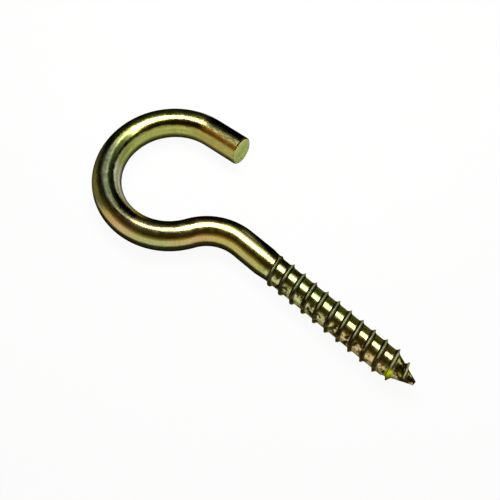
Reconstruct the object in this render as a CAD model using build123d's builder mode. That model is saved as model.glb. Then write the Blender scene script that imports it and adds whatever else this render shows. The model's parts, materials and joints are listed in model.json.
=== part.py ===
from build123d import *
from math import cos, radians, sin
import os

# Bent wire: lengths in millimetres, turns and tilts in degrees
wire_diameter = 5.0
ring_radius = 11.2        # round hook, to the middle of the wire
ring_turn = 233.9
bend_radius = 8.85        # S-bend, to the middle of the wire
bend_turn = 59.7
end_length = 6.5          # straight end of the hook
end_tilt = 7.0            # the sheared end face leans up by this much
end_rounding = 0.35
neck_length = 4.85        # plain wire between the S-bend and the thread

# Screw, measured along its axis from the end of the plain neck
screw_length = 29.9
point_length = 4.75
tip_radius = 0.35         # blunt end of the point
runout_length = 2.2       # from the plain neck down to the thread's root
thread_pitch = 2.333
root_depth = 0.17         # thread root below the wire's surface
crest_rise = 0.25         # thread crest above the wire's surface
crest_angle = 19.6        # where the first full crest stands, from the +Y side up to the +Z side

# Extra length of wire that the end cut takes off again
overrun = 1.5

# Ridge of the thread: first full crest past the run-out and widths as shares of the pitch,
# and its foot in the core as a share of its height
first_crest_share = 0.84
crest_width_share = 0.13
ridge_width_share = 0.43
ridge_foot_share = 0.4
# Ridge at its start and in the point: place as a share of the run-out's or the point's length,
# height as a share of the full ridge, and below the core's surface where it is negative
runout_ridge_shares = ((0.1, -0.2), (0.85, 0.5), (1.4, 1.0))
point_ridge_shares = ((0.0, 1.0), (0.5, 1.6), (0.74, -0.2))

full_turn = 360
pieces_per_turn = 2
steps_per_piece = 8

wire_radius = wire_diameter / 2
root_radius = wire_radius - root_depth
crest_radius = wire_radius + crest_rise
ridge_height = crest_radius - root_radius
crest_place = runout_length + first_crest_share * thread_pitch
point_start = screw_length - point_length

# Radius of the screw's core, and height of the ridge on it, along the axis
core_line = [
    (0, wire_radius),
    (runout_length, root_radius),
    (point_start, root_radius),
    (screw_length, tip_radius),
]
ridge_line = [(runout_length * x, ridge_height * h) for x, h in runout_ridge_shares]
ridge_line += [(point_start + point_length * x, ridge_height * h) for x, h in point_ridge_shares]
ridge_start = ridge_line[0][0]
ridge_run = ridge_line[-1][0] - ridge_start

# Corners of the ridge's section: side of its middle, and whether at the crest or the foot
ridge_corners = ((-1, False), (-1, True), (1, True), (1, False))


def between(table, place):
    """Value at a place in a table of places and values, in a straight line between its rows."""
    if place <= table[0][0]:
        return table[0][1]
    for (start, before), (stop, after) in zip(table, table[1:]):
        if place <= stop:
            return before + (after - before) * (place - start) / (stop - start)
    return table[-1][1]


def ridge_point(middle, side, at_crest):
    """Corner of the ridge's section whose middle is at a place along the axis."""
    width_share = crest_width_share if at_crest else ridge_width_share
    place = middle + side * width_share * thread_pitch / 2
    height = between(ridge_line, middle) if at_crest else -ridge_height * ridge_foot_share
    radius = between(core_line, place) + height
    angle = radians(crest_angle + full_turn * (middle - crest_place) / thread_pitch)
    return Vector(place, radius * cos(angle), radius * sin(angle))


def ridge_piece(start, stop):
    """Part of a turn of the ridge: flanks, crest and foot ruled between spirals, and flat ends."""
    shares = [step / steps_per_piece for step in range(steps_per_piece + 1)]
    middles = [start + (stop - start) * share for share in shares]
    spirals = [
        Edge.make_spline([ridge_point(m, side, at_crest) for m in middles], parameters=shares)
        for side, at_crest in ridge_corners
    ]
    faces = [
        Face.make_surface_from_curves(spiral, following)
        for spiral, following in zip(spirals, spirals[1:] + spirals[:1])
    ]
    for middle in (start, stop):
        corners = [ridge_point(middle, side, at_crest) for side, at_crest in ridge_corners]
        faces.append(Face(Wire.make_polygon(corners, close=True)))
    return Solid(Shell(faces))


with BuildPart() as screw_hook:
    # S-bend, round hook and straight end in one run of wire
    with BuildLine() as wire_line:
        bend = JernArc(
            start=(-neck_length, 0), tangent=(-1, 0), radius=bend_radius, arc_size=bend_turn
        )
        ring = JernArc(start=bend @ 1, tangent=bend % 1, radius=ring_radius, arc_size=-ring_turn)
        PolarLine(start=ring @ 1, length=end_length + overrun, direction=ring % 1)
    with BuildSketch(Plane(origin=bend @ 0, z_dir=bend % 0)):
        Circle(wire_radius)
    sweep(path=wire_line.line)

    # Sheared end face, leaning up a little, with its edge rolled over
    end_point = ring @ 1 + (ring % 1) * end_length
    end_normal = (ring % 1) * cos(radians(end_tilt)) + Vector(0, 0, 1) * sin(radians(end_tilt))
    with Locations(Plane(origin=end_point, z_dir=end_normal)):
        Cylinder(
            radius=wire_diameter,
            height=wire_diameter + overrun,
            align=(Align.CENTER, Align.CENTER, Align.MIN),
            mode=Mode.SUBTRACT,
        )
    end_face = faces().filter_by(GeomType.PLANE).sort_by_distance(end_point)[0]
    fillet(end_face.edges(), radius=end_rounding)

    # Plain neck and core of the screw, turned round its axis
    with BuildSketch(Plane.XY):
        with BuildLine():
            Polyline(
                (-neck_length, 0),
                (-neck_length, wire_radius),
                *core_line,
                (screw_length, 0),
                close=True,
            )
        make_face()
    revolve(axis=Axis.X)

    # Thread: the ridge, in parts of a turn that meet face to face
    pieces = round(ridge_run / thread_pitch * pieces_per_turn)
    places = [ridge_start + ridge_run * piece / pieces for piece in range(pieces + 1)]
    add([ridge_piece(start, stop) for start, stop in zip(places, places[1:])])

screw_hook.part.label = "screw_hook"
os.makedirs("parts", exist_ok=True)
export_step(screw_hook.part, "parts/screw_hook.step")
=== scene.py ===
import json
import math

import bmesh
import bpy
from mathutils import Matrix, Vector, noise


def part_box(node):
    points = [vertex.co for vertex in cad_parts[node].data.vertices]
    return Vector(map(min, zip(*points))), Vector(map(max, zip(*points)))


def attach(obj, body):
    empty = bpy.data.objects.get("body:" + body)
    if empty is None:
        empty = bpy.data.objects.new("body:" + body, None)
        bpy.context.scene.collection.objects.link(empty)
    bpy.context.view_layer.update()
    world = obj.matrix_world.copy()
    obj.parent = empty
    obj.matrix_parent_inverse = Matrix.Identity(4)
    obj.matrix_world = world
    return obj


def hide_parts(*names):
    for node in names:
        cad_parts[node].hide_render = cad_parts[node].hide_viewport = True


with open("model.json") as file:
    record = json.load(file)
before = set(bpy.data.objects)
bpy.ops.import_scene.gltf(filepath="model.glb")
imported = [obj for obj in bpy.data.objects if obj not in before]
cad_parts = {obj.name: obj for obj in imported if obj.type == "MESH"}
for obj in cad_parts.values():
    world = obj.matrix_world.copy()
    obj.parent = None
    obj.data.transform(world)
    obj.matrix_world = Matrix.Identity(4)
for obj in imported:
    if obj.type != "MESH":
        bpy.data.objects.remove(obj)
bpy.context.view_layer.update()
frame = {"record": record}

MM = 0.001
FULL_TURN = 2 * math.pi
TURN_DEGREES = 360

# Sizes that the frame gives, in millimetres
low_corner, high_corner = (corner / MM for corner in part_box("screw_hook"))
neck = next(mount for mount in frame["record"]["mounts"] if mount["name"] == "neck")
WIRE_RADIUS = neck["dims"]["r_mm"]
NECK_LENGTH = neck["dims"]["length_mm"]
SCREW_LENGTH = high_corner.x
CREST_RADIUS = high_corner.z
FLOOR_HEIGHT = low_corner.z

# Bends of the wire, in millimetres to its middle and in degrees
RING_RADIUS = 11.2
RING_TURN = 233.9
BEND_RADIUS = 8.85
BEND_TURN = 59.7
END_LENGTH = 6.5
END_TILT = 7.0
END_ROUNDING = 0.35
# Share of that rounding past which the end counts as sheared
SHEARED_SHARE = 0.1

# Rolled thread and its point, in millimetres and degrees
RUNOUT_LENGTH = 2.2
POINT_LENGTH = 4.75
TIP_RADIUS = 0.35
TIP_ROUNDING = 0.15
THREAD_PITCH = 2.333
ROOT_DEPTH = 0.26
CREST_ANGLE = 19.6
# Ridge of the thread: a crest past the run-out, its flanks and rounding as shares of the pitch
FIRST_CREST_SHARE = 0.84
FLANK_SHARE = 0.26
CREST_ROUNDING_SHARE = 0.012
# How hollow its flanks are, how uneven its crests as a share of its height, and how often per millimetre
FLANK_HOLLOW = 2.4
CREST_UNEVENNESS_SHARE = 0.05
CREST_WANDER = 1.3
# Ridge in the run-out and in the point: place as a share of their length, and share of its full height
RUNOUT_RIDGE_SHARES = ((0.1, -0.2), (0.85, 0.5), (1.4, 1.0))
POINT_RIDGE_SHARES = ((0.0, 1.0), (0.5, 1.6), (0.74, -0.2))

# Fineness of the mesh, in degrees, millimetres and numbers of steps
AROUND = 96
BEND_STEP = 2.0
STRAIGHT_STEP = 0.6
FILLET_STEPS = 6
FACE_RINGS = 5
WELD_DISTANCE = 0.0002
# Lines along the thread, as shares of the pitch to each side of a crest, the one halfway to the next,
# and spare turns of them before the neck
THREAD_LINE_SHARES = (0.008, 0.018, 0.03, 0.045, 0.062, 0.08, 0.1, 0.125, 0.15, 0.18, 0.22, 0.26, 0.38)
HALFWAY_SHARE = 0.5
SPARE_TURNS = 2

# Finish. Runs along the wire are places on it when it is straight, in millimetres from the end of the neck:
# positive on the screw, negative back to the hook's end. Bands across it are places off its middle, positive
# towards the inner side of the ring, the far side of the neck and the near side of the straight end.
# On the lower near side of the thread they go towards that side, and heights go upwards from its middle.
# Four places are where a run or band starts, is full, fades and stops. Two are where it starts and is full.
# Patches have a size in millimetres and a fineness, where in their pattern they start and are full, and
# the strength they have at each of the two.

# Yellow passivation: tints along the wire, with clouds in them; the paler gold along its top is a painted
# highlight
TINTS = (
    (-66.0, (0.52, 0.50, 0.15)),
    (-63.0, (0.58, 0.44, 0.13)),
    (-60.0, (0.56, 0.47, 0.14)),
    (-56.0, (0.58, 0.58, 0.15)),
    (-49.0, (0.57, 0.61, 0.16)),
    (-42.0, (0.46, 0.52, 0.13)),
    (-39.0, (0.42, 0.47, 0.14)),
    (-33.0, (0.44, 0.42, 0.22)),
    (-29.5, (0.36, 0.29, 0.04)),
    (-25.0, (0.56, 0.40, 0.19)),
    (-20.0, (0.44, 0.45, 0.17)),
    (-16.5, (0.47, 0.44, 0.17)),
    (-13.0, (0.57, 0.42, 0.18)),
    (-9.5, (0.54, 0.43, 0.12)),
    (-4.0, (0.48, 0.43, 0.13)),
    (1.0, (0.46, 0.44, 0.13)),
    (4.0, (0.37, 0.46, 0.15)),
    (13.0, (0.38, 0.47, 0.15)),
    (19.0, (0.46, 0.45, 0.15)),
    (24.5, (0.54, 0.45, 0.20)),
    (26.8, (0.50, 0.54, 0.08)),
    (30.0, (0.42, 0.36, 0.11)),
)
PINK_GOLD = (0.52, 0.34, 0.12, 1)
PINK_PATCHES = (2.6, 4, 0.52, 0.72, 0, 0.5)
GREEN_GOLD = (0.40, 0.46, 0.12, 1)
GREEN_PATCHES = (1.9, 4, 0.54, 0.7, 0, 0.45)
# Painted highlight: paler gold along the top of the wire, where the lamps' highlight falls
PAINTED_HIGHLIGHT_GOLD = (0.66, 0.64, 0.36, 1)
PAINTED_HIGHLIGHT_HEIGHT = (2.05, 2.45)
PAINTED_HIGHLIGHT_SHARE = 0.12
# How far tints and the painted shade wander along the wire, and their edges across it: size, fineness and
# reach
WANDER = (6, 3, 4)
RAGGED_EDGE = (1.1, 4, 0.25)

# Worn grey run of the ring, which lies nearer to the neck on its inner side
WORN_GREY = (0.58, 0.58, 0.40, 1)
WORN_RUN = (-41.5, -37.5, -33.0, -27.0)
WORN_INNER_BAND = (1.2, 1.8)
WORN_INNER_SHIFT = -3.5

# Painted shade: dark bands on the upper side of the wire where its reflections fall dark, which hide the
# metal over most of their run
PAINTED_SHADE_HEIGHT = (-0.3, 0.6)
PAINTED_SHADE_HIDING = 3
PAINTED_SHADE_BREAKS = (0.45, 3, 0.35, 0.75, 0.99, 0.9)
PAINTED_SHADE_GREEN = (0.046, 0.052, 0.026, 1)
RING_RUN = (-45.0, -37.0, -33.0, -27.0)
RING_BAND = (-1.6, -1.0, 1.0, 1.7)
FADING_RUN = (-36.0, -32.0, -28.0, -20.5)
FADING_BAND = (-0.7, -0.2, 1.0, 1.7)
NECK_RUN = (-26.0, -20.0, 0.0, 2.0)
NECK_BAND = (0.8, 1.25)
END_GREEN = (0.024, 0.027, 0.011, 1)
END_RUN = (-56.5, -59.0)
END_BAND = (1.0, 0.5)
# Painted shade in brown and deep green beside the green, where the reflections fall dark
PAINTED_SHADE_BROWN = (0.07, 0.035, 0.004, 1)
BROWN_RUN = (-62.0, -57.0, -48.0, -42.0)
BROWN_BAND = (0.75, 1.05, 1.5, 1.85)
BROWN_SHARE = 0.87
DEEP_GREEN = (0.008, 0.011, 0.002, 1)
DEEP_RUN = (-44.5, -39.5, -27.0, -22.0)
DEEP_BAND = (0.45, 0.8, 1.4, 1.65)
DEEP_SHARE = 0.95

# Rust on the straight end, and a dull bloom on the inner side of the ring
RUST_BROWN = (0.30, 0.13, 0.015, 1)
RUST_BAND = (0.6, 0.9, 1.3, 1.7)
RUST_PATCHES = (0.9, 3, 0.3, 0.55, 0.4, 1)
BLOOM_RUN = (-32.0, -38.0)
BLOOM_BAND = (1.55, 1.9)
BLOOM_SHARE = 0.8

# Thread: tan and blotted dark brown on its lower near side, dark brown on its flanks as painted shade and
# worn bare on its crests.
# Heights on the ridge are shares of the full ridge.
THREAD_RUN = (0.5, 3.0)
LOWER_NEAR_SIDE = (0, -0.946, -0.325)
LOWER_NEAR_BAND = (-0.3, 0.9)
OLIVE_TAN = (0.62, 0.64, 0.28, 1)
TAN = (0.80, 0.60, 0.28, 1)
TAN_RUN = (9.0, 19.0)
TAN_SHARE = 0.7
THREAD_BROWN = (0.032, 0.022, 0.009, 1)
# Painted shade: dark brown on the ridges' flanks, beside the crests
FLANK_HEIGHT_SHARES = (0.004, 0.06)
FLANK_SHADE_SHARE = 0.95
FLANK_BREAKS = (1.0, 3, 0.24, 0.4, 0, 1)
CREST_HEIGHT_SHARES = (0.35, 0.6)
BLOTS = (0.8, 4, 0.44, 0.58, 0, 1)
POINT_RUN = (25.4, 26.6)
PATCH_GREEN = (0.62, 0.68, 0.04, 1)
PATCH_RUN = (25.3, 25.9, 26.2, 26.9)
PATCH_BAND = (0.3, 1.0, 1.5, 2.1)
BARE_ZINC = (0.66, 0.68, 0.50, 1)
WEAR_HEIGHT_SHARES = (0.45, 0.7)
WEAR_BREAKS = (0.45, 3, 0.25, 0.45, 0, 1)

# Sheared end: torn face, burnished towards its top, inside a rolled edge that stays bright metal
SHEARED_TINT = (0.56, 0.70, 0.24, 1)
TORN_TINT = (0.66, 0.77, 0.20, 1)
TORN_PATCHES = (1.2, 4, 0.4, 0.65, 0, 1)
BURNISHED_TINT = (0.80, 0.83, 0.26, 1)
BURNISHED_HEIGHT = (0.6, 2.0)
ROLLED_EDGE = (2.2, 2.38)
TORN_METAL_LOSS = -0.8

# Grain in the colour, roughness of the bright metal and what is added to it, and tints of the metal's rim
GRAIN = (0.22, 2, 0.25, 0.75, 0.82, 1.12)
SHEEN = (1.4, 4, 0.3, 0.7, 0.14, 0.24)
DULL_ROUGHNESS = 0.25
WORN_DULLNESS = 0.4
TORN_ROUGHNESS = 0.4
BLOT_AND_SHADE_ROUGHNESS = 0.1
WEAR_ROUGHNESS = 0.35
RIM = (0.02, 0.02, 0.01, 1)
THREAD_RIM = (0.70, 0.62, 0.35, 1)
# Fine relief: squeeze of the pattern on each axis, size in millimetres, fineness and depth in millimetres
DRAWN_LINES = ((0.06, 1, 1), 0.12, 2, 0.006)
WAVINESS = ((1, 1, 1), 1.6, 2, 0.025)
FINE_GRAIN = ((1, 1, 1), 0.16, 2, 0.004)
TEARS = ((1, 1, 0.15), 0.2, 3, 0.16)

# Floor: share of its light that is plain white, and the painted shade that the metal shows of it close by,
# which reaches further on the near side and is weaker at the thread. Lengths in millimetres
FLOOR_COLOUR = (0.95, 0.95, 0.95, 1)
FLOOR_LIFT_SHARE = 0.94
CONTACT_COLOUR = (0.02, 0.02, 0.02, 1)
CONTACT_REACH = (4.0, 9.0)
CONTACT_SHARE = 0.97
CONTACT_GROWTH = 1.9
CONTACT_SIDE = (-1.0, -7.0)
THREAD_CONTACT = (1.0, 5.0)
THREAD_CONTACT_SHARE = 0.62
SWEEP_RADIUS = 650
SWEEP_CURVE = 120
SWEEP_HEIGHT = 320
SWEEP_STEPS = 12

# Dark cards round the hook, in millimetres and degrees from +X to +Y.
# Ring cards as azimuth and near radius round the ring's middle, screw cards as x, near y and far y.
RING_MIDDLE = (-22, 1)
RING_CARD_NEAR = 16
RING_CARD_FAR = 80
RING_CARD_HEIGHT = 50
BLACK_CARD = ((100, 30), (110, 28), (120, 24), (130, 18)) + tuple(
    (azimuth, RING_CARD_NEAR) for azimuth in (140, 150, 160, 170, 180)
)
BROWN_CARD = tuple((azimuth, RING_CARD_NEAR) for azimuth in (180, 190, 198))
GOLD_CARD = tuple((azimuth, RING_CARD_NEAR) for azimuth in (198, 208, 218, 229))
GOLD_CARD_HEIGHT = 80
NECK_CARD = ((-9, 18, 22), (-6, 18, 22), (-5, 4.5, 22), (3, 4.5, 22))
THREAD_CARD = ((3, 4.5, 22), (36, 4.5, 22))
SCREW_CARD_HEIGHT = 16
CARD_LIFT = 0.05
BLACK = (0.01, 0.01, 0.01, 1)
BROWN = (0.12, 0.10, 0.04, 1)
GOLD = (0.30, 0.28, 0.08, 1)
OLIVE = (0.18, 0.20, 0.06, 1)

# Lamps over the hook: place and size in millimetres, and brightness
CORE_LAMP = ((-35, 33, 100), (64, 54), 7.5)
RING_LAMP = ((-90, 20, 100), (46, 28), 5.0)
SCREW_LAMP = ((10.5, 50, 100), (27, 66), 5.5)
SOFT_LAMP = ((-43, 80, 101), (63, 65), 1.0)
# Room round them, and where on its unit sphere a glow fades out upwards and comes in to one side
ROOM_COLOUR = (0.042, 0.029, 0.006, 1)
GLOW_COLOUR = (0.55, 0.42, 0.15, 1)
GLOW_HEIGHTS = (0.42, 0.78)
GLOW_SIDE = (-0.2, -0.6)

# Camera, in millimetres and degrees: the place it looks at, its distance and direction from there, its lens
CAMERA_TARGET = (-3.90, 0.81, -2.5)
CAMERA_DISTANCE = 116.79
CAMERA_AZIMUTH = 311.92
CAMERA_ELEVATION = 65.225
CAMERA_SENSOR = 36
CAMERA_LENS = 50.4
CAMERA_CLIP = 5

END_REACH = 2 * END_ROUNDING
ROOT_RADIUS = WIRE_RADIUS - ROOT_DEPTH
RIDGE_HEIGHT = CREST_RADIUS - ROOT_RADIUS
CREST_PLACE = RUNOUT_LENGTH + FIRST_CREST_SHARE * THREAD_PITCH
POINT_START = SCREW_LENGTH - POINT_LENGTH
CORE_LINE = (
    (0, WIRE_RADIUS),
    (RUNOUT_LENGTH, ROOT_RADIUS),
    (POINT_START, ROOT_RADIUS),
    (SCREW_LENGTH, TIP_RADIUS),
)
RIDGE_LINE = tuple(
    [(RUNOUT_LENGTH * place, RIDGE_HEIGHT * share) for place, share in RUNOUT_RIDGE_SHARES]
    + [(POINT_START + POINT_LENGTH * place, RIDGE_HEIGHT * share) for place, share in POINT_RIDGE_SHARES]
)


def between(table, place):
    """Value at a place in a table of places and values, in a straight line between its rows."""
    if place <= table[0][0]:
        return table[0][1]
    for (start, before), (stop, after) in zip(table, table[1:]):
        if place <= stop:
            return before + (after - before) * (place - start) / (stop - start)
    return table[-1][1]


def angle_of(column):
    """Angle of a column of the mesh round the wire, from the neck's +Y side upwards."""
    return FULL_TURN * column / AROUND


def on_straight_wire(along, radius, angle):
    """Place of a point of the skin when the wire is straight."""
    return Vector((along, radius * math.cos(angle), radius * math.sin(angle)))


def direction(azimuth, elevation=0):
    """Unit vector towards an azimuth, from +X to +Y, and an elevation, in radians."""
    flat = math.cos(elevation)
    return Vector((math.cos(azimuth) * flat, math.sin(azimuth) * flat, math.sin(elevation)))


def wire_stations():
    """Middle and heading of the bent wire, from the end of the neck back to the hook's end."""
    middle, heading = Vector((0, 0, 0)), math.pi
    stations = [(middle.copy(), heading)]

    def straight(length):
        nonlocal middle
        steps = max(round(length / STRAIGHT_STEP), 1)
        for step in range(steps):
            middle = middle + direction(heading) * length / steps
            stations.append((middle.copy(), heading))

    def bend(radius, turn):
        nonlocal middle, heading
        steps = round(abs(turn) / BEND_STEP)
        side = math.copysign(radius, turn)
        centre = middle + Vector((-math.sin(heading), math.cos(heading), 0)) * side
        for step in range(steps):
            heading += math.radians(turn) / steps
            middle = centre + Vector((math.sin(heading), -math.cos(heading), 0)) * side
            stations.append((middle.copy(), heading))

    straight(NECK_LENGTH)
    bend(BEND_RADIUS, BEND_TURN)
    bend(RING_RADIUS, -RING_TURN)
    straight(END_LENGTH - END_REACH)
    return stations


def ring_of_points(middle, heading, radius, shift=None):
    """Points round the wire at one place, each pushed along the wire by its shift."""
    side = Vector((math.sin(heading), -math.cos(heading), 0))
    points = []
    for column in range(AROUND):
        angle = angle_of(column)
        point = middle + (side * math.cos(angle) + Vector((0, 0, math.sin(angle)))) * radius
        if shift:
            point += direction(heading) * shift(angle)
        points.append(point)
    return points


def end_profile():
    """Radius and drop of each ring of the sheared end, over its rolled edge and in towards its middle."""
    profile = []
    for step in range(FILLET_STEPS + 1):
        turn = math.pi / 2 * step / FILLET_STEPS
        radius = WIRE_RADIUS - END_ROUNDING * (1 - math.cos(turn))
        profile.append((radius, END_ROUNDING * (1 - math.sin(turn))))
    flat_radius = WIRE_RADIUS - END_ROUNDING
    return profile + [(flat_radius * (1 - ring / FACE_RINGS), 0) for ring in range(1, FACE_RINGS)]


def end_rings(middle, heading):
    """Rings of the sheared end, which leans up a little, and the point in its middle."""
    slope = math.tan(math.radians(END_TILT))
    rings = []
    for radius, drop in end_profile():
        points = ring_of_points(
            middle,
            heading,
            radius,
            lambda angle, r=radius, d=drop: END_REACH - d - slope * r * math.sin(angle),
        )
        rings.append((radius, points))
    return rings, middle + direction(heading) * END_REACH


def ridge_profile(place, phase, angle):
    """Height of the thread's ridge over the core, at a place and a share of the pitch off its crest."""
    middle = place - phase * THREAD_PITCH
    unevenness = noise.noise(Vector((middle * CREST_WANDER, math.cos(angle), math.sin(angle)))) + 1
    top = max(between(RIDGE_LINE, middle), 0) * (1 - CREST_UNEVENNESS_SHARE * unevenness)
    flank = max(1 - math.hypot(phase, CREST_ROUNDING_SHARE) / FLANK_SHARE, 0)
    full = (1 - CREST_ROUNDING_SHARE / FLANK_SHARE) ** FLANK_HOLLOW
    return top * flank**FLANK_HOLLOW / full


def ridge_fade(place):
    """Nothing of the ridge at the very ends of the screw, all of it a little further in."""
    from_neck = place / (RUNOUT_LENGTH * RUNOUT_RIDGE_SHARES[1][0])
    from_tip = (SCREW_LENGTH - TIP_ROUNDING - place) / (POINT_LENGTH * (1 - POINT_RIDGE_SHARES[-1][0]))
    return max(min(from_neck, from_tip, 1), 0)


def thread_lines():
    """Place of each line at the +Y side, its share of the pitch off the crest, and the lines per turn."""
    after = [*THREAD_LINE_SHARES, HALFWAY_SHARE]
    shares = sorted([-share for share in THREAD_LINE_SHARES] + [0] + after)
    crest_at_side = CREST_PLACE - THREAD_PITCH * CREST_ANGLE / TURN_DEGREES
    first_turn = math.floor(-crest_at_side / THREAD_PITCH) - SPARE_TURNS
    last_turn = math.ceil((SCREW_LENGTH - crest_at_side) / THREAD_PITCH) + 1
    lines = []
    for turn in range(first_turn, last_turn):
        lines += [(crest_at_side + THREAD_PITCH * (turn + share), share) for share in shares]
    return lines, len(shares)


def thread_point(line, share, column):
    """Point of a line of the thread, held between the neck and the tip, and its share of the full ridge."""
    angle = angle_of(column)
    place = line + THREAD_PITCH * angle / FULL_TURN
    place = min(max(place, 0), SCREW_LENGTH - TIP_ROUNDING)
    height = ridge_profile(place, share, angle) * ridge_fade(place)
    return on_straight_wire(place, between(CORE_LINE, place) + height, angle), height / RIDGE_HEIGHT


class Skin:
    """Mesh of the hook in the making: points, the faces between them and marks for its finish.

    The marks are the place of each point on the wire made straight, in millimetres, its share of the
    thread's full ridge, and whether it lies on the sheared end.
    """

    def __init__(self):
        self.mesh = bmesh.new()
        self.straight = self.mesh.verts.layers.float_vector.new("straight")
        self.ridge = self.mesh.verts.layers.float.new("ridge")
        self.sheared = self.mesh.verts.layers.float.new("sheared")

    def add(self, point, straight, ridge=0, sheared=0):
        """One point with its marks."""
        vert = self.mesh.verts.new(point * MM)
        vert[self.straight] = straight
        vert[self.ridge] = ridge
        vert[self.sheared] = sheared
        return vert

    def ring(self, points, along, radius, sheared=0):
        """Points round the wire, which lie at one place along it when it is straight."""
        return [
            self.add(point, on_straight_wire(along, radius, angle_of(column)), 0, sheared)
            for column, point in enumerate(points)
        ]

    def join(self, rows):
        """Faces between rows of points that each close on themselves."""
        for row, following in zip(rows, rows[1:]):
            for column in range(AROUND):
                after = (column + 1) % AROUND
                self.mesh.faces.new((row[column], row[after], following[after], following[column]))

    def close(self, row, centre):
        """Faces from a row to the point in its middle."""
        for column in range(AROUND):
            self.mesh.faces.new((row[column], row[(column + 1) % AROUND], centre))


def skin_wire(skin):
    """Neck, S-bend, round hook and sheared end."""
    stations = wire_stations()
    rows = []
    along = 0
    previous = stations[0][0]
    for middle, heading in stations:
        along -= (middle - previous).length
        previous = middle
        rows.append(skin.ring(ring_of_points(middle, heading, WIRE_RADIUS), along, WIRE_RADIUS))
    rings, centre = end_rings(*stations[-1])
    for radius, points in rings:
        sheared = 1 if radius < WIRE_RADIUS - END_ROUNDING * SHEARED_SHARE else 0
        rows.append(skin.ring(points, along, radius, sheared))
    skin.join(rows)
    skin.close(rows[-1], skin.add(centre, Vector((along, 0, 0)), 0, 1))


def skin_thread(skin):
    """Thread on lines that follow its spiral, so that the last column meets the first a turn further on."""
    lines, lines_per_turn = thread_lines()
    rows = []
    for line, share in lines:
        row = []
        for column in range(AROUND):
            point, ridge = thread_point(line, share, column)
            row.append(skin.add(point, point, ridge))
        rows.append(row)
    for number in range(len(rows) - lines_per_turn - 1):
        row, following = rows[number], rows[number + 1]
        for column in range(AROUND - 1):
            skin.mesh.faces.new((row[column + 1], row[column], following[column], following[column + 1]))
        over, over_following = rows[number + lines_per_turn], rows[number + lines_per_turn + 1]
        skin.mesh.faces.new((over[0], row[-1], following[-1], over_following[0]))


def skin_tip(skin):
    """Blunt, rounded end of the point."""
    rows = []
    start = SCREW_LENGTH - TIP_ROUNDING
    radius = between(CORE_LINE, start)
    for step in range(FILLET_STEPS + 1):
        turn = math.pi / 2 * step / FILLET_STEPS
        place = start + TIP_ROUNDING * math.sin(turn)
        ring = radius - TIP_ROUNDING * (1 - math.cos(turn))
        points = [on_straight_wire(place, ring, angle_of(column)) for column in range(AROUND)]
        rows.append(skin.ring(points, place, ring))
    rows.reverse()
    skin.join(rows)
    rows[0].reverse()
    tip = Vector((SCREW_LENGTH, 0, 0))
    skin.close(rows[0], skin.add(tip, tip))


def finished_hook():
    """The whole hook in one skin, closed and smooth."""
    skin = Skin()
    skin_wire(skin)
    skin_thread(skin)
    skin_tip(skin)
    bmesh.ops.remove_doubles(skin.mesh, verts=skin.mesh.verts, dist=WELD_DISTANCE * MM)
    loose = [vert for vert in skin.mesh.verts if not vert.link_faces]
    bmesh.ops.delete(skin.mesh, geom=loose, context="VERTS")
    bmesh.ops.recalc_face_normals(skin.mesh, faces=skin.mesh.faces)
    mesh = bpy.data.meshes.new("finished_hook")
    skin.mesh.to_mesh(mesh)
    skin.mesh.free()
    mesh.shade_smooth()
    piece = bpy.data.objects.new("finished_hook", mesh)
    bpy.context.scene.collection.objects.link(piece)
    return piece


def feed(tree, socket, value):
    """Set a socket to a number or colour, or link it to another node's output."""
    if isinstance(value, bpy.types.NodeSocket):
        tree.links.new(value, socket)
    else:
        socket.default_value = value


def math_node(tree, operation, *values):
    """Math node whose inputs are numbers or the outputs of other nodes."""
    node = tree.nodes.new("ShaderNodeMath")
    node.operation = operation
    for socket, value in zip(node.inputs, values):
        feed(tree, socket, value)
    return node.outputs[0]


def times(tree, first, second):
    """Product of two masks, or of a mask and a number."""
    return math_node(tree, "MULTIPLY", first, second)


def either(tree, first, *others):
    """Mask that is as strong as the strongest of several."""
    for other in others:
        first = math_node(tree, "MAXIMUM", first, other)
    return first


def opposite(tree, mask):
    """What a mask leaves free."""
    return math_node(tree, "SUBTRACT", 1, mask)


def raised(tree, value, mask, amount):
    """Value with an amount added where a mask is full."""
    return math_node(tree, "MULTIPLY_ADD", mask, amount, value)


def rise(tree, value, low, high, before=0, after=1, smooth=True):
    """Change from one value to another as the input goes from low to high."""
    node = tree.nodes.new("ShaderNodeMapRange")
    node.interpolation_type = "SMOOTHSTEP" if smooth else "LINEAR"
    settings = {"Value": value, "From Min": low, "From Max": high, "To Min": before, "To Max": after}
    for name, setting in settings.items():
        feed(tree, node.inputs[name], setting)
    return node.outputs[0]


def band(tree, value, start, full, fade, stop):
    """Mask that rises from start to full and goes down again from fade to stop."""
    return times(tree, rise(tree, value, start, full), rise(tree, value, fade, stop, 1, 0))


def blend(tree, share, below, above):
    """Mix of two colours."""
    node = tree.nodes.new("ShaderNodeMix")
    node.data_type = "RGBA"
    # A colour mix has its share, its two colours and its result at these numbers
    for number, value in ((0, share), (6, below), (7, above)):
        feed(tree, node.inputs[number], value)
    return node.outputs[2]


def vector_node(tree, operation, *values):
    """Vector math node whose inputs are vectors or the outputs of other nodes."""
    node = tree.nodes.new("ShaderNodeVectorMath")
    node.operation = operation
    for socket, value in zip(node.inputs, values):
        feed(tree, socket, value)
    return node


def stretch(tree, place, factors):
    """Place with each axis multiplied by a factor of its own."""
    return vector_node(tree, "MULTIPLY", place, factors).outputs[0]


def on_side(tree, place, side):
    """How far a place lies towards one side."""
    return vector_node(tree, "DOT_PRODUCT", place, side).outputs["Value"]


def off_middle(tree, straight):
    """How far a place lies from the middle of the wire."""
    return vector_node(tree, "LENGTH", stretch(tree, straight, (0, 1, 1))).outputs["Value"]


def clouds(tree, place, size, fineness):
    """Soft random pattern from 0 to 1, with patches of about a size in millimetres."""
    node = tree.nodes.new("ShaderNodeTexNoise")
    feed(tree, node.inputs["Vector"], place)
    node.inputs["Scale"].default_value = 1 / size
    node.inputs["Detail"].default_value = fineness
    return node.outputs[0]


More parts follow.
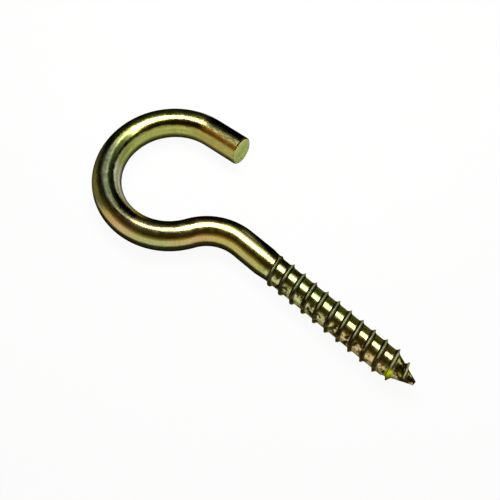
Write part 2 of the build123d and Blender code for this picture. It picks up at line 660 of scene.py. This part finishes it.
def astray(tree, place, value, size, fineness, reach):
    """Value that strays by about a reach to either side, in a soft random pattern."""
    stray = raised(tree, -reach, clouds(tree, place, size, fineness), 2 * reach)
    return math_node(tree, "ADD", value, stray)


def mark(tree, name, output="Fac"):
    """Mark that the skin carries for its finish."""
    node = tree.nodes.new("ShaderNodeAttribute")
    node.attribute_name = name
    return node.outputs[output]


def bump(tree, height, depth, below):
    """Relief of a depth in millimetres, over another one if there is one."""
    node = tree.nodes.new("ShaderNodeBump")
    node.inputs["Distance"].default_value = depth * MM
    feed(tree, node.inputs["Height"], height)
    if below:
        feed(tree, node.inputs["Normal"], below)
    return node.outputs[0]


class Layout:
    """What the finish is laid out by: places on the wire made straight, masks of the thread and the end."""

    def __init__(self, tree):
        self.straight = mark(tree, "straight", "Vector")
        self.along = on_side(tree, self.straight, (1, 0, 0))
        self.wandering = astray(tree, self.straight, self.along, *WANDER)
        self.inward = astray(tree, self.straight, on_side(tree, self.straight, (0, 1, 0)), *RAGGED_EDGE)
        self.height = on_side(tree, self.straight, (0, 0, 1))
        self.ridge = mark(tree, "ridge")
        self.in_thread = rise(tree, self.along, *THREAD_RUN)
        self.toward_lower_near = on_side(tree, self.straight, LOWER_NEAR_SIDE)
        self.lower_near = rise(tree, self.toward_lower_near, *LOWER_NEAR_BAND)
        rolled = rise(tree, off_middle(tree, self.straight), *ROLLED_EDGE)
        self.sheared = times(tree, mark(tree, "sheared"), opposite(tree, rolled))
        self.end_rust_and_shade = rise(tree, self.wandering, *END_RUN)


def patches(tree, layout, kind):
    """Random patches of a kind, between their least and their most strength."""
    size, fineness, start, full, least, most = kind
    return rise(tree, clouds(tree, layout.straight, size, fineness), start, full, least, most)


def tint_along(tree, along, tints):
    """Colour that changes along the wire, from a list of places in millimetres and their tints."""
    first, last = tints[0][0], tints[-1][0]
    node = tree.nodes.new("ShaderNodeValToRGB")
    feed(tree, node.inputs[0], rise(tree, along, first, last, smooth=False))
    ramp = node.color_ramp
    while len(ramp.elements) < len(tints):
        ramp.elements.new(1)
    for element, (place, colour) in zip(ramp.elements, tints):
        element.position = (place - first) / (last - first)
        element.color = (*colour, 1)
    return node.outputs[0]


def passivation(tree, layout):
    """Yellow passivation: tints along the wire with pink and green clouds, and a painted highlight of paler
    gold along its top.
    """
    colour = tint_along(tree, layout.wandering, TINTS)
    colour = blend(tree, patches(tree, layout, PINK_PATCHES), colour, PINK_GOLD)
    colour = blend(tree, patches(tree, layout, GREEN_PATCHES), colour, GREEN_GOLD)
    # Painted highlight: paler along the top of the wire
    pale = rise(tree, layout.height, *PAINTED_HIGHLIGHT_HEIGHT, 0, PAINTED_HIGHLIGHT_SHARE)
    return blend(tree, pale, colour, PAINTED_HIGHLIGHT_GOLD)


def worn_run(tree, layout):
    """Mask of the run of the ring where the passivation is worn to grey."""
    inner = rise(tree, layout.inward, *WORN_INNER_BAND)
    return band(tree, raised(tree, layout.wandering, inner, WORN_INNER_SHIFT), *WORN_RUN)


def thick_painted_shade(tree, layout, run, across):
    """Mask of painted shade on a run of the wire and a band across it, nearly full over most of its run."""
    bare = opposite(tree, band(tree, layout.wandering, *run))
    covered = opposite(tree, math_node(tree, "POWER", bare, PAINTED_SHADE_HIDING))
    return times(tree, covered, band(tree, layout.inward, *across))


def painted_green_shade(tree, layout):
    """Mask of the painted green shade on the ring, the neck and the straight end."""
    ring = thick_painted_shade(tree, layout, RING_RUN, RING_BAND)
    fading = thick_painted_shade(tree, layout, FADING_RUN, FADING_BAND)
    end = times(tree, layout.end_rust_and_shade, rise(tree, layout.inward, *END_BAND))
    plain_neck = times(tree, band(tree, layout.along, *NECK_RUN), rise(tree, layout.inward, *NECK_BAND))
    return times(tree, either(tree, ring, fading, end, plain_neck), patches(tree, layout, PAINTED_SHADE_BREAKS))


def under_painted_shade(tree, layout, colour):
    """Colour under the painted green shade, and the painted brown and deep green shade lines beside it."""
    # Painted shade: dark bands over the upper side of the wire where its reflections fall dark
    upper = rise(tree, layout.height, *PAINTED_SHADE_HEIGHT)
    green = times(tree, painted_green_shade(tree, layout), upper)
    colour = blend(tree, green, colour, blend(tree, layout.end_rust_and_shade, PAINTED_SHADE_GREEN, END_GREEN))
    brown = times(tree, band(tree, layout.wandering, *BROWN_RUN), band(tree, layout.inward, *BROWN_BAND))
    brown = times(tree, brown, rise(tree, upper, 0, 1, 0, BROWN_SHARE))
    colour = blend(tree, brown, colour, PAINTED_SHADE_BROWN)
    deep = thick_painted_shade(tree, layout, DEEP_RUN, DEEP_BAND)
    deep = times(tree, deep, rise(tree, upper, 0, 1, 0, DEEP_SHARE))
    return blend(tree, deep, colour, DEEP_GREEN)


def end_rust(tree, layout):
    """Mask of a broken line of rust along the straight end."""
    line = times(tree, layout.end_rust_and_shade, band(tree, layout.inward, *RUST_BAND))
    return times(tree, line, patches(tree, layout, RUST_PATCHES))


def inner_bloom(tree, layout):
    """Mask of a dull bloom on the inner side of the ring."""
    return times(
        tree,
        rise(tree, layout.inward, *BLOOM_BAND),
        rise(tree, layout.along, *BLOOM_RUN, 0, BLOOM_SHARE),
    )


def thread_blots_and_flank_shade(tree, layout):
    """Mask of dark brown: painted shade on the thread's flanks, and blots on its lower near side and its
    point.
    """
    far_upper_side = opposite(tree, layout.lower_near)
    far_upper_crest = times(tree, rise(tree, layout.ridge, *CREST_HEIGHT_SHARES), far_upper_side)
    # Painted shade: dark brown on the ridges' flanks beside the crests
    flank = rise(tree, layout.ridge, *FLANK_HEIGHT_SHARES, 0, FLANK_SHADE_SHARE)
    flank = times(tree, flank, opposite(tree, far_upper_crest))
    flank = times(tree, flank, either(tree, patches(tree, layout, FLANK_BREAKS), far_upper_side))
    blotted = either(tree, layout.lower_near, rise(tree, layout.along, *POINT_RUN))
    blots = times(tree, patches(tree, layout, BLOTS), blotted)
    return times(tree, either(tree, blots, flank), layout.in_thread)


def crest_wear(tree, layout):
    """Mask of bare zinc on the crests, on the far upper side of the thread."""
    wear = times(tree, rise(tree, layout.ridge, *WEAR_HEIGHT_SHARES), patches(tree, layout, WEAR_BREAKS))
    return times(tree, wear, opposite(tree, layout.lower_near))


def thread_colour(tree, layout, colour, brown_blots_and_flank_shade, wear):
    """Colour with the thread's tan side, its dark brown blots and painted flank shade, bare crests and the
    bright patch at its point.
    """
    tan = blend(tree, rise(tree, layout.wandering, *TAN_RUN), OLIVE_TAN, TAN)
    tan_side = times(tree, times(tree, layout.lower_near, layout.in_thread), TAN_SHARE)
    colour = blend(tree, tan_side, colour, tan)
    colour = blend(tree, brown_blots_and_flank_shade, colour, THREAD_BROWN)
    patch = times(tree, band(tree, layout.along, *PATCH_RUN), band(tree, layout.toward_lower_near, *PATCH_BAND))
    colour = blend(tree, patch, colour, PATCH_GREEN)
    return blend(tree, wear, colour, BARE_ZINC)


def end_face(tree, layout):
    """Colour of the sheared end: torn patches, and burnished towards its top."""
    torn = blend(tree, patches(tree, layout, TORN_PATCHES), SHEARED_TINT, TORN_TINT)
    return blend(tree, rise(tree, layout.height, *BURNISHED_HEIGHT), torn, BURNISHED_TINT)


def grained(tree, layout, colour):
    """Colour with fine lighter and darker grain."""
    node = vector_node(tree, "SCALE", colour)
    feed(tree, node.inputs["Scale"], patches(tree, layout, GRAIN))
    return node.outputs[0]


def roughness(tree, layout, dull, brown_blots_and_flank_shade, wear):
    """Roughness of bright metal, with more where it is dull, torn, dark brown on the thread or worn."""
    rough = patches(tree, layout, SHEEN)
    rough = raised(tree, rough, dull, DULL_ROUGHNESS)
    rough = raised(tree, rough, layout.sheared, TORN_ROUGHNESS)
    rough = raised(tree, rough, brown_blots_and_flank_shade, BLOT_AND_SHADE_ROUGHNESS)
    return raised(tree, rough, wear, WEAR_ROUGHNESS)


def relief(tree, layout):
    """Fine lines of the drawn wire, a slight waviness, fine grain and the tears of the sheared end."""
    below = None
    for squeeze, size, fineness, depth in (DRAWN_LINES, WAVINESS, FINE_GRAIN):
        pattern = clouds(tree, stretch(tree, layout.straight, squeeze), size, fineness)
        below = bump(tree, pattern, depth, below)
    squeeze, size, fineness, depth = TEARS
    tears = clouds(tree, stretch(tree, layout.straight, squeeze), size, fineness)
    return bump(tree, times(tree, tears, layout.sheared), depth, below)


def yellow_zinc():
    """Bright zinc with a yellow passivation that turns from green to gold, worn, rusty and blotted in places,
    with painted shade over dark reflections and a painted highlight along its top.
    """
    material = bpy.data.materials.new("yellow_zinc")
    material.use_nodes = True
    tree = material.node_tree
    layout = Layout(tree)
    worn = worn_run(tree, layout)
    rust = end_rust(tree, layout)
    brown_blots_and_flank_shade = thread_blots_and_flank_shade(tree, layout)
    wear = crest_wear(tree, layout)
    dull = either(tree, times(tree, worn, WORN_DULLNESS), rust, inner_bloom(tree, layout))

    colour = blend(tree, worn, passivation(tree, layout), WORN_GREY)
    colour = under_painted_shade(tree, layout, colour)
    colour = blend(tree, rust, colour, RUST_BROWN)
    colour = thread_colour(tree, layout, colour, brown_blots_and_flank_shade, wear)
    colour = blend(tree, layout.sheared, colour, end_face(tree, layout))

    shader = tree.nodes["Principled BSDF"]
    feed(tree, shader.inputs["Base Color"], grained(tree, layout, colour))
    feed(tree, shader.inputs["Roughness"], roughness(tree, layout, dull, brown_blots_and_flank_shade, wear))
    feed(tree, shader.inputs["Metallic"], raised(tree, 1, layout.sheared, TORN_METAL_LOSS))
    feed(tree, shader.inputs["Specular Tint"], blend(tree, layout.in_thread, RIM, THREAD_RIM))
    feed(tree, shader.inputs["Normal"], relief(tree, layout))
    return material


def stage_material(name, colour):
    """Plain diffuse material for what stands round the hook."""
    material = bpy.data.materials.new(name)
    material.use_nodes = True
    tree = material.node_tree
    tree.nodes.clear()
    plain = tree.nodes.new("ShaderNodeBsdfDiffuse")
    plain.inputs["Color"].default_value = colour
    output = tree.nodes.new("ShaderNodeOutputMaterial")
    tree.links.new(plain.outputs[0], output.inputs["Surface"])
    return material, plain, output


def shader_mix(tree, share, below, above):
    """Mix of two shaders."""
    node = tree.nodes.new("ShaderNodeMixShader")
    for socket, value in zip(node.inputs, (share, below.outputs[0], above.outputs[0])):
        tree.links.new(value, socket)
    return node


def painted_contact_shade(tree, path):
    """Mask of painted shade on the floor near where the metal sees it: wider on the near side, weaker at the
    thread.
    """
    place = tree.nodes.new("ShaderNodeNewGeometry").outputs["Position"]
    side = on_side(tree, place, (0, 1 / MM, 0))
    along = on_side(tree, place, (1 / MM, 0, 0))
    growth = rise(tree, side, *CONTACT_SIDE, MM, CONTACT_GROWTH * MM)
    distance = math_node(tree, "DIVIDE", path.outputs["Ray Length"], growth)
    # Painted shade: the floor turns dark where the metal sees it close by
    near = rise(tree, distance, *CONTACT_REACH, CONTACT_SHARE, 0)
    near = times(tree, near, rise(tree, along, *THREAD_CONTACT, 1, THREAD_CONTACT_SHARE))
    return times(tree, path.outputs["Is Glossy Ray"], near)


def floor_white():
    """Pale floor that shows white to the eye and in the metal, with shadows and a painted shade close to the
    hook.
    """
    material, plain, output = stage_material("floor_white", FLOOR_COLOUR)
    tree = material.node_tree
    path = tree.nodes.new("ShaderNodeLightPath")
    seen = either(tree, *(path.outputs[f"Is {kind} Ray"] for kind in ("Camera", "Glossy", "Transmission")))
    white = tree.nodes.new("ShaderNodeEmission")
    lifted = shader_mix(tree, times(tree, seen, FLOOR_LIFT_SHARE), plain, white)
    shade = tree.nodes.new("ShaderNodeBsdfDiffuse")
    shade.inputs["Color"].default_value = CONTACT_COLOUR
    contact = shader_mix(tree, painted_contact_shade(tree, path), lifted, shade)
    tree.links.new(contact.outputs[0], output.inputs["Surface"])
    return material


def stage_mesh(name, points, faces, material):
    """Mesh that isn't part of the hook, from points in millimetres."""
    mesh = bpy.data.meshes.new(name)
    mesh.from_pydata([point * MM for point in points], [], faces)
    mesh.materials.append(material)
    mesh.shade_smooth()
    piece = bpy.data.objects.new(name, mesh)
    bpy.context.scene.collection.objects.link(piece)
    return piece


def white_sweep():
    """Pale floor that curves up into a low wall all round."""
    profile = [(SWEEP_RADIUS - SWEEP_CURVE, 0)]
    for step in range(1, SWEEP_STEPS + 1):
        turn = math.pi / 2 * step / SWEEP_STEPS
        reach = SWEEP_RADIUS - SWEEP_CURVE * (1 - math.sin(turn))
        profile.append((reach, SWEEP_CURVE * (1 - math.cos(turn))))
    profile.append((SWEEP_RADIUS, SWEEP_HEIGHT))
    points = [Vector((0, 0, FLOOR_HEIGHT))]
    for radius, height in profile:
        for column in range(AROUND):
            angle = angle_of(column)
            points.append(Vector((radius * math.cos(angle), radius * math.sin(angle), FLOOR_HEIGHT + height)))
    faces = []
    for column in range(AROUND):
        after = (column + 1) % AROUND
        faces.append((0, 1 + column, 1 + after))
        for row in range(len(profile) - 1):
            low, high = 1 + row * AROUND, 1 + (row + 1) * AROUND
            faces.append((low + column, high + column, high + after, low + after))
    stage_mesh("white_sweep", points, faces, floor_white())


def dark_card(name, stations, height, colour):
    """Dark card that lies on the floor beside the hook and stands up further out. Only the metal shows it."""
    points = []
    for near, far in stations:
        points += [near, far, far + Vector((0, 0, height))]
    faces = []
    per_station = len(points) // len(stations)
    for step in range(len(stations) - 1):
        first = per_station * step
        second = first + per_station
        faces += [(first, first + 1, second + 1, second), (first + 1, first + 2, second + 2, second + 1)]
    material = stage_material(name, colour)[0]
    card = stage_mesh(name, points, faces, material)
    card.visible_camera = card.visible_shadow = card.visible_diffuse = False


def ring_card(name, places, height, colour):
    """Dark card bent round the ring."""
    middle = Vector((*RING_MIDDLE, FLOOR_HEIGHT + CARD_LIFT))
    stations = []
    for azimuth, near in places:
        away = direction(math.radians(azimuth))
        stations.append((middle + away * near, middle + away * RING_CARD_FAR))
    dark_card(name, stations, height, colour)


def screw_card(name, places, colour):
    """Dark card along the far side of the neck and the screw."""
    lift = FLOOR_HEIGHT + CARD_LIFT
    stations = [(Vector((x, near, lift)), Vector((x, far, lift))) for x, near, far in places]
    dark_card(name, stations, SCREW_CARD_HEIGHT, colour)


def lamp(name, place, size, brightness):
    """Soft lamp that hangs level over the hook. A brightness of 1 shows as white."""
    light = bpy.data.lights.new(name, "AREA")
    light.shape = "RECTANGLE"
    light.size, light.size_y = size[0] * MM, size[1] * MM
    light.energy = brightness * math.pi * light.size * light.size_y
    holder = bpy.data.objects.new(name, light)
    holder.location = Vector(place) * MM
    holder.visible_camera = False
    bpy.context.scene.collection.objects.link(holder)


def dim_room():
    """Dim warm room over the sweep, with a glow low on one side."""
    world = bpy.data.worlds.new("dim_room")
    world.use_nodes = True
    tree = world.node_tree
    place = tree.nodes.new("ShaderNodeTexCoord").outputs["Generated"]
    low = rise(tree, on_side(tree, place, (0, 0, 1)), *GLOW_HEIGHTS, 1, 0)
    glow = times(tree, low, rise(tree, on_side(tree, place, (0, 1, 0)), *GLOW_SIDE))
    colour = blend(tree, glow, ROOM_COLOUR, GLOW_COLOUR)
    feed(tree, tree.nodes["Background"].inputs["Color"], colour)
    bpy.context.scene.world = world


def photo_camera():
    """Camera at the photograph's viewing angle."""
    camera = bpy.data.cameras.new("photo_camera")
    camera.sensor_width = CAMERA_SENSOR
    camera.lens = CAMERA_LENS
    camera.clip_start = CAMERA_CLIP * MM
    holder = bpy.data.objects.new("photo_camera", camera)
    away = direction(math.radians(CAMERA_AZIMUTH), math.radians(CAMERA_ELEVATION))
    holder.location = Vector(CAMERA_TARGET) * MM + away * CAMERA_DISTANCE * MM
    holder.rotation_euler = away.to_track_quat("Z", "Y").to_euler()
    bpy.context.scene.collection.objects.link(holder)
    bpy.context.scene.camera = holder


hook = finished_hook()
hook.data.materials.append(yellow_zinc())
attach(hook, "root")
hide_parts("screw_hook")

white_sweep()
ring_card("black_card", BLACK_CARD, RING_CARD_HEIGHT, BLACK)
ring_card("brown_card", BROWN_CARD, RING_CARD_HEIGHT, BROWN)
ring_card("gold_card", GOLD_CARD, GOLD_CARD_HEIGHT, GOLD)
screw_card("neck_card", NECK_CARD, BLACK)
screw_card("thread_card", THREAD_CARD, OLIVE)
lamp("core_lamp", *CORE_LAMP)
lamp("ring_lamp", *RING_LAMP)
lamp("screw_lamp", *SCREW_LAMP)
lamp("soft_lamp", *SOFT_LAMP)
dim_room()
photo_camera()
bpy.context.scene.view_settings.view_transform = "Standard"
